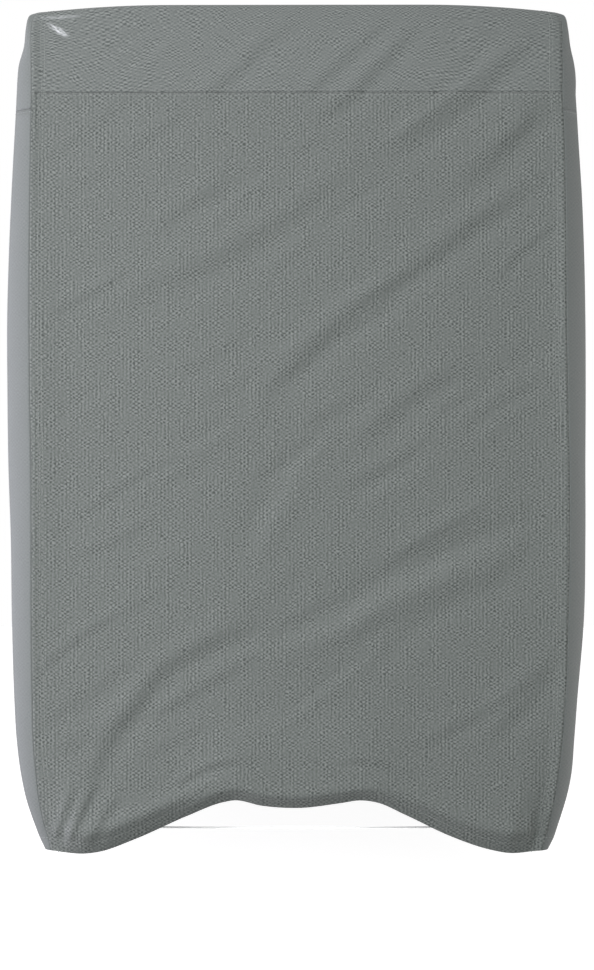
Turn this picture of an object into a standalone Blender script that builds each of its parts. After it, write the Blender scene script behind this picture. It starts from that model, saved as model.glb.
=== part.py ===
"""A fitted cloth cover for a travel trailer, empty, in the shape in which it hangs.

It is sewn from seven pieces of grey non-woven cloth, and one webbing strap crosses under its belly.
The front faces -Y, X runs across and Z is up. The origin is under the middle of the roof cloth.
"""
import math

import bpy
import numpy as np

# Driving sizes, in metres
CLOTH = 0.002
SEAM_GAP = 0.0018
LENGTH = 5.50
FRONT_Y = -LENGTH / 2
REAR_Y = LENGTH / 2

SIDE_SEAM_DROP = 0.398
CORNER_REACH = 1.30
FLAT_CORNER = 0.6        # how far a corner is a flat slant, and not a quarter circle
EDGE_BLEND = 0.14
FOLD_FADE = 0.05

# Folds start this far from a seam, a corner or the hem on the sides, the rear and the roof
QUIET_CORNER = 0.25
QUIET_END = 0.14
SOFT_START = 0.30
TAPER = 0.30
FRONT_WAVE = 0.004
SIDE_WAVE = 0.006
ROOF_WAVE = 0.004

# The roof is flat in the middle and falls towards its long edges and its two ends
CROWN_FLAT = 0.45
CROWN_FALL = 0.032
END_FALL = 0.002
END_REACH = 0.35

STRAP_BEHIND_FRONT = 0.48
STRAP_WIDTH = 0.025
STRAP_DROP = 2.988
STRAP_SAG = 0.008
STRAP_GAP = 0.0006
STRAP_STEPS = 12

# Steps of the grids that the cloth is laid out on
ACROSS = 18
FRONT_FINER = 2
FRONT_STEP = 0.075
CORNER_STEPS = 4
SIDE_STEPS = 15
STRAIGHT_SHARE = 0.6

# The walls, a row for each level from the front seam down to the hem. drop is below the top of
# the roof. left and right are the half-widths at the front corners, and left_seam and right_seam
# are where the corner seams run. middle is the half-width halfway along the sides. inward is how
# far the cloth of both ends is drawn in.
LEVEL_COLUMNS = ("drop", "left", "right", "left_seam", "right_seam", "middle", "inward")
LEVELS = [
    (0.340, 0.990, 0.983, 0.929, 0.929, 0.995, 0.000),
    (0.398, 0.993, 0.987, 0.930, 0.932, 0.999, 0.000),
    (0.510, 1.000, 0.994, 0.932, 0.937, 1.008, 0.000),
    (0.700, 1.011, 1.007, 0.934, 0.940, 1.019, -0.002),
    (0.920, 1.021, 1.016, 0.936, 0.942, 1.028, -0.004),
    (1.140, 1.027, 1.020, 0.936, 0.943, 1.034, -0.006),
    (1.380, 1.026, 1.020, 0.934, 0.948, 1.036, -0.007),
    (1.630, 1.023, 1.018, 0.930, 0.953, 1.035, -0.007),
    (1.910, 1.013, 1.018, 0.929, 0.954, 1.031, -0.006),
    (2.190, 1.009, 1.013, 0.929, 0.950, 1.025, -0.003),
    (2.470, 1.000, 0.988, 0.926, 0.940, 1.016, 0.000),
    (2.610, 0.992, 0.978, 0.923, 0.930, 1.010, 0.004),
    (2.750, 0.974, 0.967, 0.912, 0.915, 1.002, 0.012),
    (2.820, 0.959, 0.952, 0.905, 0.904, 0.998, 0.019),
    (2.880, 0.940, 0.934, 0.895, 0.893, 0.992, 0.028),
    (2.925, 0.924, 0.920, 0.885, 0.884, 0.986, 0.037),
    (2.960, 0.911, 0.909, 0.875, 0.875, 0.979, 0.043),
    (3.002, 0.889, 0.886, 0.867, 0.867, 0.970, 0.048),
]

# The top, a row for each step from the front seam up and over the edge of the roof. end_in and
# end_drop place the cloth at the ends, and side_drop at the sides. crown is the share of the
# roof's crown that the row follows, and tilt is how far its face leans back, in degrees.
TOP_COLUMNS = ("end_in", "end_drop", "side_drop", "crown", "tilt",
               "left", "right", "left_seam", "right_seam", "middle")
TOP = [
    (0.000, 0.340, 0.340, 0.00, 0, 0.990, 0.983, 0.929, 0.929, 0.995),
    (0.011, 0.272, 0.277, 0.10, 10, 0.988, 0.985, 0.931, 0.931, 0.993),
    (0.028, 0.205, 0.219, 0.20, 15, 0.984, 0.981, 0.934, 0.933, 0.989),
    (0.046, 0.145, 0.150, 0.40, 20, 0.966, 0.968, 0.937, 0.935, 0.976),
    (0.068, 0.090, 0.080, 0.60, 30, 0.962, 0.962, 0.940, 0.938, 0.972),
    (0.088, 0.045, 0.029, 0.80, 45, 0.956, 0.956, 0.938, 0.936, 0.966),
    (0.113, 0.009, 0.005, 0.95, 65, 0.945, 0.945, 0.924, 0.924, 0.956),
    (0.150, 0.002, 0.000, 1.00, 80, 0.918, 0.918, 0.894, 0.894, 0.933),
]

# The lower edge of the front: x across, and drop below the top of the roof
FRONT_HEM = [
    (-0.867, 3.002), (-0.747, 3.011), (-0.698, 3.005), (-0.569, 2.960), (-0.387, 2.879),
    (-0.261, 2.830), (-0.222, 2.823), (-0.124, 2.842), (0.009, 2.850), (0.156, 2.833),
    (0.222, 2.824), (0.282, 2.832), (0.383, 2.877), (0.536, 2.950), (0.679, 2.999),
    (0.746, 3.011), (0.867, 3.002),
]

# The hem curls under: q is the height above the edge, and inward is how far the cloth goes back
HEM_CURL = [(0.000, 0.030), (0.025, 0.008), (0.045, 0.007), (0.085, -0.010), (0.150, -0.008),
            (0.260, -0.003), (0.450, 0.000)]

# Folds, a row for each: shape, width, height, and the line that it follows. A ridge is an even
# bump, or a trough where its height is less than nothing. A lip is a ridge along the upper left of
# its line and a trough along the lower right. On the front the line's points are x and drop.
FRONT_FOLDS = [
    ("long fold", "lip", 0.036, 0.0066,
     [(-0.18, 1.55), (-0.10, 1.41), (0.03, 1.27), (0.18, 1.13), (0.39, 0.97), (0.60, 0.82),
      (0.78, 0.69), (0.93, 0.57)]),
    ("upper fold", "lip", 0.050, 0.0046,
     [(-0.80, 1.17), (-0.66, 1.11), (-0.52, 1.03), (-0.39, 0.98), (-0.29, 0.93), (-0.17, 0.86),
      (-0.08, 0.80), (0.04, 0.73), (0.17, 0.65), (0.27, 0.57), (0.36, 0.51)]),
    ("right corner fold", "lip", 0.034, 0.0060,
     [(0.25, 0.58), (0.36, 0.53), (0.45, 0.47), (0.55, 0.40), (0.64, 0.33), (0.73, 0.24), (0.81, 0.17),
      (0.89, 0.07)]),
    ("shoulder fold", "lip", 0.050, 0.0048,
     [(0.50, 0.70), (0.59, 0.65), (0.67, 0.59), (0.74, 0.53), (0.80, 0.46), (0.85, 0.42),
      (0.95, 0.33)]),
    ("second band fold", "lip", 0.028, 0.0046,
     [(-0.01, 0.48), (0.10, 0.41), (0.17, 0.37), (0.21, 0.34), (0.27, 0.27), (0.33, 0.21),
      (0.39, 0.14), (0.46, 0.05)]),
    ("first band fold", "lip", 0.027, 0.0034,
     [(-0.01, 0.38), (0.06, 0.33), (0.13, 0.26), (0.20, 0.19), (0.29, 0.11), (0.36, 0.04)]),
    ("left band fold", "lip", 0.030, 0.0040,
     [(-0.39, 0.41), (-0.30, 0.34), (-0.25, 0.30), (-0.18, 0.24), (-0.12, 0.17), (-0.03, 0.11),
      (0.04, 0.04)]),
    ("short fold", "lip", 0.038, 0.0044,
     [(0.17, 1.62), (0.25, 1.54), (0.31, 1.49), (0.39, 1.42), (0.48, 1.36), (0.55, 1.33),
      (0.66, 1.27)]),
    ("middle light", "lip", 0.040, -0.0038,
     [(-0.21, 2.05), (-0.15, 1.93), (-0.11, 1.84), (-0.08, 1.79), (-0.03, 1.70), (0.03, 1.65),
      (0.11, 1.56)]),
    ("low fold, above", "lip", 0.045, 0.0036,
     [(0.27, 2.02), (0.39, 1.96), (0.50, 1.93), (0.60, 1.87), (0.67, 1.84), (0.78, 1.82),
      (0.95, 1.76)]),
    ("low fold", "lip", 0.040, -0.0056,
     [(-0.25, 2.31), (-0.17, 2.29), (-0.03, 2.26), (0.08, 2.22), (0.17, 2.18), (0.25, 2.12),
      (0.36, 2.06), (0.46, 2.02), (0.53, 1.98), (0.64, 1.94), (0.76, 1.89), (0.95, 1.82)]),
    ("low fold, below", "lip", 0.038, 0.0034,
     [(0.01, 2.33), (0.18, 2.25), (0.25, 2.21), (0.34, 2.18), (0.43, 2.13), (0.55, 2.08), (0.67, 2.05),
      (0.78, 2.00), (0.95, 1.93)]),
    ("corner fold", "lip", 0.034, 0.0058,
     [(-0.77, 2.94), (-0.74, 2.82), (-0.71, 2.73), (-0.67, 2.65), (-0.62, 2.57), (-0.57, 2.50),
      (-0.52, 2.43), (-0.46, 2.36), (-0.39, 2.32), (-0.29, 2.27), (-0.18, 2.23), (-0.10, 2.21),
      (0.06, 2.14)]),
    ("right edge fold", "lip", 0.038, 0.0040,
     [(0.69, 2.56), (0.76, 2.49), (0.80, 2.45), (0.87, 2.38), (0.95, 2.24)]),
    ("hem roll", "ridge", 0.110, 0.0100, [(-0.42, 2.70), (-0.20, 2.64), (0.00, 2.64), (0.20, 2.64), (0.42, 2.72)]),
]

# On the sides and the rear the line's points are the distance along the panel and drop
SIDE_FOLDS = [
    ("first", "ridge", 0.16, 0.014, [(-2.20, 0.62), (-1.70, 1.15), (-1.35, 1.80), (-1.20, 2.40)]),
    ("second", "ridge", 0.15, -0.012, [(-1.95, 0.55), (-1.35, 1.05), (-0.85, 1.75)]),
    ("third", "ridge", 0.18, 0.012, [(-0.60, 0.60), (-0.20, 1.30), (0.00, 2.10)]),
    ("fourth", "ridge", 0.18, -0.010, [(0.75, 0.65), (0.55, 1.45), (0.60, 2.30)]),
    ("fifth", "ridge", 0.16, 0.013, [(2.25, 0.60), (1.75, 1.10), (1.30, 1.70), (1.05, 2.35)]),
    ("sixth", "ridge", 0.14, -0.011, [(2.40, 1.30), (2.00, 1.90), (1.75, 2.55)]),
]
REAR_FOLDS = [
    ("first", "ridge", 0.11, 0.013, [(-0.72, 0.62), (-0.30, 1.05), (0.00, 1.70)]),
    ("second", "ridge", 0.10, -0.011, [(0.78, 0.66), (0.38, 1.15), (0.15, 1.75)]),
    ("third", "ridge", 0.11, 0.012, [(-0.76, 2.62), (-0.40, 2.20), (-0.02, 2.05)]),
]
SMOOTH_STEPS = 6

CLOTH_COLOUR = (0.188, 0.205, 0.198, 1.0)
WEBBING_COLOUR = (0.55, 0.57, 0.57, 1.0)


def columns(names, rows):
    """The rows of a table as one array for each named column."""
    return {name: np.array(values, float) for name, values in zip(names, zip(*rows))}


LEVEL = columns(LEVEL_COLUMNS, LEVELS)
TOP_ROW = columns(TOP_COLUMNS, TOP)


def ease(share):
    """From 0 to 1 with a soft start and end."""
    share = np.clip(share, 0.0, 1.0)
    return share * share * (3.0 - 2.0 * share)


def smooth_path(points):
    """Points along a soft curve through the given ones."""
    points = np.array(points, float)
    before = np.vstack([2 * points[0] - points[1], points, 2 * points[-1] - points[-2]])
    path = []
    for a, b, c, d in zip(before, before[1:], before[2:], before[3:]):
        for t in np.arange(SMOOTH_STEPS) / SMOOTH_STEPS:
            path.append(0.5 * (2 * b + (c - a) * t + (2 * a - 5 * b + 4 * c - d) * t ** 2
                               + (3 * b - a - 3 * c + d) * t ** 3))
    return np.array(path + [points[-1]])


def smooth_table(table, at):
    """The second column of a table of points, read from a soft curve through them."""
    path = smooth_path(table)
    return np.interp(at, path[:, 0], path[:, 1])


def fold_height(folds, across, drop):
    """How far the folds lift the cloth at the given places."""
    place = np.stack(np.broadcast_arrays(across, drop), axis=-1).astype(float)
    total = np.zeros(place.shape[:-1])
    for _, kind, width, height, line in folds:
        path = smooth_path(line)
        nearest = np.full(total.shape, np.inf)
        side = np.zeros(total.shape)
        along = np.zeros(total.shape)
        for number, (start, end) in enumerate(zip(path, path[1:])):
            run = end - start
            off = place - start
            t = np.clip(off @ run / (run @ run), 0.0, 1.0)
            distance = np.linalg.norm(off - t[..., None] * run, axis=-1)
            closer = distance < nearest
            nearest = np.where(closer, distance, nearest)
            side = np.where(closer, np.sign(run[0] * off[..., 1] - run[1] * off[..., 0]), side)
            along = np.where(closer, (number + t) / (len(path) - 1), along)
        taper = ease(along / TAPER) * ease((1.0 - along) / TAPER)
        q = nearest / width
        shape = np.exp(-q ** 2) if kind == "ridge" else -side * q * np.exp(0.5 - 0.5 * q ** 2)
        total = total + height * taper * shape
    return total


def crown_drop(x):
    """How far the roof falls below its middle towards its long edges."""
    return CROWN_FALL * (np.clip(np.abs(x) - CROWN_FLAT, 0.0, None) / CROWN_FLAT) ** 2


def end_drop(y):
    """How far the roof falls towards its front and rear edges."""
    edge = LENGTH / 2 - TOP_ROW["end_in"][-1]
    return END_FALL * (1.0 - ease((edge - np.abs(y)) / END_REACH))


def wall_row(drop):
    """What one level of the walls measures."""
    row = {name: np.interp(drop, LEVEL["drop"], LEVEL[name]) for name in LEVEL_COLUMNS}
    row.update(end_in=row["inward"], end_drop=drop, side_drop=drop, crown=0.0)
    return row


def top_row(number):
    """What one step of the top measures."""
    return {name: TOP_ROW[name][number] for name in TOP_COLUMNS}


def side_steps():
    """The steps round one side, from the front corner seam to the rear one."""
    corner = np.linspace(0.0, 1.0, CORNER_STEPS + 1)
    even = np.linspace(0.0, 1.0, SIDE_STEPS + 1)
    eased = 0.5 - 0.5 * np.cos(np.pi * even)
    along = STRAIGHT_SHARE * even + (1.0 - STRAIGHT_SHARE) * eased
    steps = [("front corner", t) for t in corner[:-1]]
    steps += [("side", t) for t in along]
    steps += [("rear corner", t) for t in corner[1:]]
    return steps


def side_point(side, row, step):
    """The outer face of the cloth at one step round the left or right side."""
    part, t = step
    half = row[side]
    seam = row[side + "_seam"]
    radius = half - seam
    front = FRONT_Y + row["end_in"]
    rear = REAR_Y - row["end_in"]
    if part == "side":
        y = front + radius + (rear - front - 2 * radius) * t
        from_end = min(y - front - radius, rear - radius - y)
        x = half + (row["middle"] - half) * ease(from_end / CORNER_REACH)
        share = 1.0
    else:
        turn = t if part == "front corner" else 1.0 - t
        angle = math.radians(90.0 * turn)
        x = seam + radius * (FLAT_CORNER * turn + (1.0 - FLAT_CORNER) * math.sin(angle))
        back = radius * (FLAT_CORNER * turn + (1.0 - FLAT_CORNER) * (1.0 - math.cos(angle)))
        y = front + back if part == "front corner" else rear - back
        share = math.sin(angle) ** 2
    drop = row["end_drop"] * (1.0 - share) + row["side_drop"] * share
    drop += row["crown"] * (crown_drop(x) + share * end_drop(y))
    return np.array([-x if side == "left" else x, y, CLOTH - drop])


def side_relief(side, point, row):
    """How far the folds lift the side cloth, and nothing near its seams and corners."""
    y = point[1]
    drop = row["side_drop"]
    across = y if side == "left" else -y
    fade = ease((LENGTH / 2 - QUIET_CORNER - abs(y)) / SOFT_START)
    fade *= ease((drop - SIDE_SEAM_DROP) / SOFT_START) * ease((LEVEL["drop"][-1] - drop) / SOFT_START)
    return fade * (fold_height(SIDE_FOLDS, across, drop) + SIDE_WAVE * math.sin(2.3 * y + 1.7 * drop))


def side_panel(side):
    """The cloth from the side seam down to the hem, round both corners."""
    out = -1.0 if side == "left" else 1.0
    grid = []
    for drop in LEVEL["drop"][LEVEL["drop"] >= SIDE_SEAM_DROP]:
        row = wall_row(drop)
        line = [side_point(side, row, step) for step in side_steps()]
        for point in line:
            point[0] += out * side_relief(side, point, row)
        grid.append(line)
    return np.array(grid)


def side_band(side):
    """The strip between the side seam and the roof."""
    rows = [wall_row(SIDE_SEAM_DROP)] + [top_row(number) for number in range(len(TOP))]
    return np.array([[side_point(side, row, step) for step in side_steps()] for row in rows[::-1]])


def seam_to_seam(row, end, share):
    """Points across one end of the cover, from the left corner seam to the right one."""
    x = -row["left_seam"] + (row["left_seam"] + row["right_seam"]) * share
    y = FRONT_Y + row["end_in"] if end == "front" else REAR_Y - row["end_in"]
    drop = row["end_drop"] + row["crown"] * crown_drop(x)
    return np.stack([x, np.full(x.shape, y), CLOTH - drop], axis=-1)


def edge_share(x, row):
    """1 at the corner seams and 0 away from them."""
    near = np.minimum(x + row["left_seam"], row["right_seam"] - x)
    return 1.0 - ease(near / EDGE_BLEND)


def fold_fade(x, row):
    """0 at the corner seams and 1 away from them."""
    near = np.minimum(x + row["left_seam"], row["right_seam"] - x)
    return ease(near / FOLD_FADE)


def front_relief(x, drop):
    """How far the front cloth stands out or in at the given places."""
    waves = np.sin(2.6 * x + 0.9 * drop + 0.4) + np.sin(1.3 * x - 2.9 * drop)
    return fold_height(FRONT_FOLDS, x, drop) + FRONT_WAVE * waves


def front_levels():
    """The levels of the walls with finer ones between them."""
    levels = [LEVEL["drop"][0]]
    for upper, lower in zip(LEVEL["drop"], LEVEL["drop"][1:]):
        count = math.ceil((lower - upper) / FRONT_STEP)
        levels += [upper + (lower - upper) * number / count for number in range(1, count + 1)]
    return levels


def front_panel():
    """The front, from its seam down to the curled hem that arches up in the middle."""
    share = np.linspace(0.0, 1.0, ACROSS * FRONT_FINER + 1)
    top, bottom = LEVEL["drop"][0], LEVEL["drop"][-1]
    grid = []
    for level in front_levels():
        row = wall_row(level)
        line = seam_to_seam(row, "front", share)
        x = line[:, 0]
        hem = smooth_table(FRONT_HEM, x)
        hem[[0, -1]] = bottom
        drop = top + (level - top) * (hem - top) / (bottom - top)
        curl = smooth_table(HEM_CURL, np.clip(hem - drop, 0.0, HEM_CURL[-1][0]))
        edge = edge_share(x, row)
        relief = front_relief(x, drop) * fold_fade(x, row)
        line[:, 1] = FRONT_Y + row["inward"] * edge + curl * (1.0 - edge) - relief
        line[:, 2] = CLOTH - drop
        grid.append(line)
    grid = np.array(grid)
    grid[0, 1::2] = (grid[0, 0:-1:2] + grid[0, 2::2]) / 2
    return grid


def rear_panel():
    """The rear, from its seam down to a level hem."""
    share = np.linspace(1.0, 0.0, ACROSS // 2 + 1)
    bottom = LEVEL["drop"][-1]
    grid = []
    for level in LEVEL["drop"]:
        row = wall_row(level)
        line = seam_to_seam(row, "rear", share)
        fade = ease((level - LEVEL["drop"][0]) / SOFT_START) * ease((bottom - level) / SOFT_START)
        relief = fold_height(REAR_FOLDS, line[:, 0], level) * fade * fold_fade(line[:, 0], row)
        line[:, 1] += relief
        grid.append(line)
    return np.array(grid)


def end_band(end):
    """The rows of the roof piece that hang down at one end, from its seam to the roof."""
    share = np.linspace(0.0, 1.0, ACROSS + 1)
    rows = []
    for number in range(len(TOP)):
        row = top_row(number)
        line = seam_to_seam(row, end, share)
        if end == "front":
            x = line[:, 0]
            calm = 1.0 - number / (len(TOP) - 1)
            relief = front_relief(x, row["end_drop"]) * fold_fade(x, row) * ease(2.0 * calm)
            tilt = math.radians(row["tilt"])
            line[:, 1] -= relief * math.cos(tilt)
            line[:, 2] += relief * math.sin(tilt)
        rows.append(line)
    return rows


def roof_panel():
    """The roof with the bands that hang down at the front and the rear, in one piece."""
    share = np.linspace(0.0, 1.0, ACROSS + 1)[:, None]
    edge = top_row(len(TOP) - 1)
    middle = []
    for step in side_steps()[1:-1]:
        left = side_point("left", edge, step)
        right = side_point("right", edge, step)
        line = left + (right - left) * share
        x, y = line[:, 0], line[:, 1]
        line[:, 2] = CLOTH - crown_drop(x) - end_drop(y)
        near_edge = np.minimum(x - left[0], right[0] - x)
        calm = ease(near_edge / SOFT_START) * ease((LENGTH / 2 - QUIET_END - abs(y)) / SOFT_START)
        line[:, 2] += ROOF_WAVE * calm * np.sin(2.2 * y + 1.1 * x) * np.cos(1.3 * y - 2.0 * x)
        middle.append(line)
    return np.array(end_band("front") + middle + end_band("rear")[::-1])


def trimmed(grid):
    """The grid with half a seam's gap cut off all round."""
    grid = grid.copy()
    for edge, inner in ((0, 1), (-1, -2)):
        for lines in (grid, grid.transpose(1, 0, 2)):
            run = lines[inner] - lines[edge]
            length = np.linalg.norm(run, axis=-1, keepdims=True)
            lines[edge] += run / length * SEAM_GAP / 2
    return grid


def plain_material(name, colour):
    """A matt material of one colour."""
    material = bpy.data.materials.new(name)
    material.use_nodes = True
    shader = material.node_tree.nodes["Principled BSDF"]
    shader.inputs["Base Color"].default_value = colour
    shader.inputs["Roughness"].default_value = 0.9
    shader.inputs["Metallic"].default_value = 0.0
    return material


def cloth_object(name, grid, colour, outward):
    """A sheet laid on a grid of points, with its thickness on the side away from outward."""
    rows, across = grid.shape[:2]
    faces = []
    for i in range(rows - 1):
        for j in range(across - 1):
            corner = i * across + j
            faces.append((corner, corner + 1, corner + across + 1, corner + across))
    mesh = bpy.data.meshes.new(name)
    mesh.from_pydata(grid.reshape(-1, 3).tolist(), [], faces)
    mesh.update()
    middle = mesh.polygons[len(mesh.polygons) // 2]
    if middle.normal.dot(outward) < 0:
        mesh.flip_normals()
    mesh.shade_smooth()
    mesh.materials.append(plain_material(name, colour))
    piece = bpy.data.objects.new(name, mesh)
    thickness = piece.modifiers.new("thickness", "SOLIDIFY")
    thickness.thickness = CLOTH
    thickness.offset = -1.0
    thickness.use_rim = True
    cover.objects.link(piece)
    return piece


def inner_half_width(side, row, y):
    """Where the inner face of a side lies at one level and one place along it."""
    line = np.array([side_point(side, row, step) for step in side_steps()])
    return np.interp(y, line[:, 1], np.abs(line[:, 0])) - CLOTH


def belly_strap():
    """The webbing that crosses from hem to hem under the belly and sags a little."""
    row = wall_row(STRAP_DROP)
    share = np.linspace(0.0, 1.0, STRAP_STEPS + 1)
    drop = STRAP_DROP + STRAP_SAG * (1.0 - (2.0 * share - 1.0) ** 2)
    lines = []
    for edge in (-0.5, 0.5):
        y = FRONT_Y + STRAP_BEHIND_FRONT + edge * STRAP_WIDTH
        left = -inner_half_width("left", row, y) + STRAP_GAP
        right = inner_half_width("right", row, y) - STRAP_GAP
        x = left + (right - left) * share
        lines.append(np.stack([x, np.full(x.shape, y), CLOTH - drop], axis=-1))
    return np.array(lines)


for old in list(bpy.data.objects):
    bpy.data.objects.remove(old, do_unlink=True)
cover = bpy.data.collections.new("trailer_cover")
bpy.context.scene.collection.children.link(cover)

cloth_object("front_panel", trimmed(front_panel()), CLOTH_COLOUR, (0, -1, 0))
cloth_object("rear_panel", trimmed(rear_panel()), CLOTH_COLOUR, (0, 1, 0))
cloth_object("roof_panel", trimmed(roof_panel()), CLOTH_COLOUR, (0, 0, 1))
cloth_object("left_side_panel", trimmed(side_panel("left")), CLOTH_COLOUR, (-1, 0, 0))
cloth_object("right_side_panel", trimmed(side_panel("right")), CLOTH_COLOUR, (1, 0, 0))
cloth_object("left_top_band", trimmed(side_band("left")), CLOTH_COLOUR, (-1, 0, 0))
cloth_object("right_top_band", trimmed(side_band("right")), CLOTH_COLOUR, (1, 0, 0))
cloth_object("belly_strap", belly_strap(), WEBBING_COLOUR, (0, 0, 1))
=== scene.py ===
# %% [markdown]
# # A fitted trailer cover, hanging empty
# The real cover is sewn from grey spun-bonded polypropylene: a roof piece that hangs down as a
# band at both ends, a front and a rear panel, two long sides that wrap round the corners, and a
# narrow band between each side and the roof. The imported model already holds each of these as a
# plain 2 mm sheet. This script lays finer cloth on the same shapes, with the creases, the turned
# hem, the stitching and the embossed surface that the plain sheets lack.

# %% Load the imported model
import math

import bpy
import numpy as np
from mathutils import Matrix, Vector


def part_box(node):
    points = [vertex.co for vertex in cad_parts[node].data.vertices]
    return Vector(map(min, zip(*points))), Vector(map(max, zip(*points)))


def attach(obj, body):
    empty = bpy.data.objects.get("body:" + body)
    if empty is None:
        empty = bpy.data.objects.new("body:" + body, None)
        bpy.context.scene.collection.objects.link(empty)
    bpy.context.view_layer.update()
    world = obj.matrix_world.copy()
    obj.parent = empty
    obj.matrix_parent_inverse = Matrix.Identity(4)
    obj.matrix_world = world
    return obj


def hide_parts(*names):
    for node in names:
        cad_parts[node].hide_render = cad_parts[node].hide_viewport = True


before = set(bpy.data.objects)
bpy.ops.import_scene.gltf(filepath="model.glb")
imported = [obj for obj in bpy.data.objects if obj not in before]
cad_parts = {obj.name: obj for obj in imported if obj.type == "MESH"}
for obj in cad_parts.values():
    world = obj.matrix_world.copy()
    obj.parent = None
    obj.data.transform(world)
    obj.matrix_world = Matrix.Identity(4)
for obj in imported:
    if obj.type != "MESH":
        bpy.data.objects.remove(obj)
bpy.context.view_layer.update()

# %% [markdown]
# ## Sizes
# Everything hangs from the roof, so heights are given as a drop below its top. The length is read
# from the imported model.

# %% Driving sizes, in metres
CLOTH = 0.002
HALF_SEAM_GAP = 0.00045
FRONT_SEAM_DROP = 0.340
SIDE_SEAM_DROP = 0.398
HEM_DROP = 3.002
HALF_LENGTH = round(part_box("left_top_band")[1].y, 3)
FRONT_Y = -HALF_LENGTH
REAR_Y = HALF_LENGTH
print("half the length:", round(HALF_LENGTH, 4))

# %% [markdown]
# ## The camera
# It stands level, straight in front of the cover, at about its middle height and 7 m from it. A
# long lens gives the flat look of a catalogue view. Blender's lens is for a 36 mm picture side,
# and here that is the height of the picture.

# %% Camera
PICTURE_HEIGHT = 970
METRES_PER_PIXEL = 0.0035
CAMERA_DISTANCE = 7.0
CAMERA_DROP = 1.715
SENSOR_MM = 36.0

camera = bpy.data.objects.new("camera", bpy.data.cameras.new("camera"))
camera.location = (0.0, FRONT_Y - CAMERA_DISTANCE, CLOTH - CAMERA_DROP)
camera.rotation_euler = (math.radians(90), 0, 0)
camera.data.sensor_width = SENSOR_MM
camera.data.lens = SENSOR_MM * CAMERA_DISTANCE / (PICTURE_HEIGHT * METRES_PER_PIXEL)
camera.data.clip_end = 100
bpy.context.scene.collection.objects.link(camera)
bpy.context.scene.camera = camera
print("lens:", round(camera.data.lens, 1), "mm")

# %% [markdown]
# ## Small helpers for shapes
# Tables hold the shape at a few places. Reading them through a soft curve gives cloth its smooth
# run between those places, where straight runs would leave kinks.

# %% Reading tables softly
def ease(share):
    """From 0 to 1 with a soft start and end."""
    share = np.clip(share, 0.0, 1.0)
    return share * share * (3.0 - 2.0 * share)


def soft(at, places, values):
    """A table's value at any place, read from a soft curve through its rows."""
    places = np.asarray(places, float)
    values = np.asarray(values, float)
    slope = np.gradient(values, places)
    k = np.clip(np.searchsorted(places, at, side="right") - 1, 0, len(places) - 2)
    step = places[k + 1] - places[k]
    t = np.clip((at - places[k]) / step, 0.0, 1.0)
    start = values[k] * (1 + 2 * t) * (1 - t) ** 2 + slope[k] * step * t * (1 - t) ** 2
    end = values[k + 1] * t * t * (3 - 2 * t) + slope[k + 1] * step * t * t * (t - 1)
    return start + end


def columns(names, rows):
    """The rows of a table as one array for each named column."""
    return {name: np.array(values, float) for name, values in zip(names, zip(*rows))}


# %% [markdown]
# ## The outline
# A fitted cover is close to a box with round edges, but the cloth is drawn in at the lower
# corners by the elastic, widest at mid height, and stepped in just below the roof. One row of
# each table is one level: half-widths at the front corners, where the corner seams run, the
# half-width halfway along the sides, and how far the ends are drawn in.

# %% Outline tables
LEVEL_COLUMNS = ("drop", "left", "right", "left_seam", "right_seam", "middle", "inward")
LEVEL = columns(LEVEL_COLUMNS, [
    (0.340, 0.990, 0.983, 0.929, 0.929, 0.995, 0.000),
    (0.398, 0.993, 0.987, 0.930, 0.932, 0.999, 0.000),
    (0.510, 1.000, 0.994, 0.932, 0.937, 1.008, 0.000),
    (0.700, 1.011, 1.007, 0.934, 0.940, 1.019, -0.002),
    (0.920, 1.021, 1.016, 0.936, 0.942, 1.028, -0.004),
    (1.140, 1.027, 1.020, 0.936, 0.943, 1.034, -0.006),
    (1.380, 1.026, 1.020, 0.934, 0.948, 1.036, -0.007),
    (1.630, 1.023, 1.018, 0.930, 0.953, 1.035, -0.007),
    (1.910, 1.013, 1.018, 0.929, 0.954, 1.031, -0.006),
    (2.190, 1.009, 1.013, 0.929, 0.950, 1.025, -0.003),
    (2.470, 1.000, 0.988, 0.926, 0.940, 1.016, 0.000),
    (2.610, 0.992, 0.978, 0.923, 0.930, 1.010, 0.004),
    (2.750, 0.974, 0.967, 0.912, 0.915, 1.002, 0.012),
    (2.820, 0.959, 0.952, 0.905, 0.904, 0.998, 0.019),
    (2.880, 0.940, 0.934, 0.895, 0.893, 0.992, 0.028),
    (2.925, 0.924, 0.920, 0.885, 0.884, 0.986, 0.037),
    (2.960, 0.911, 0.909, 0.875, 0.875, 0.979, 0.043),
    (3.002, 0.889, 0.886, 0.867, 0.867, 0.970, 0.048),
])

# The top goes from the front seam up over the roof's edge. crown is the share of the roof's
# crown that the row follows, and tilt is how far its face leans back, in degrees.
TOP_COLUMNS = ("end_in", "end_drop", "side_drop", "crown", "tilt",
               "left", "right", "left_seam", "right_seam", "middle")
TOP = columns(TOP_COLUMNS, [
    (0.000, 0.340, 0.340, 0.00, 0, 0.990, 0.983, 0.929, 0.929, 0.995),
    (0.011, 0.272, 0.277, 0.10, 10, 0.988, 0.985, 0.931, 0.931, 0.993),
    (0.028, 0.205, 0.219, 0.20, 15, 0.984, 0.981, 0.934, 0.933, 0.989),
    (0.046, 0.145, 0.150, 0.40, 20, 0.966, 0.968, 0.937, 0.935, 0.976),
    (0.068, 0.090, 0.080, 0.60, 30, 0.962, 0.962, 0.940, 0.938, 0.972),
    (0.088, 0.045, 0.029, 0.80, 45, 0.956, 0.956, 0.938, 0.936, 0.966),
    (0.113, 0.009, 0.005, 0.95, 65, 0.945, 0.945, 0.924, 0.924, 0.956),
    (0.150, 0.002, 0.000, 1.00, 80, 0.918, 0.918, 0.894, 0.894, 0.933),
])
TOP_STEPS = len(TOP["end_in"]) - 1

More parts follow.
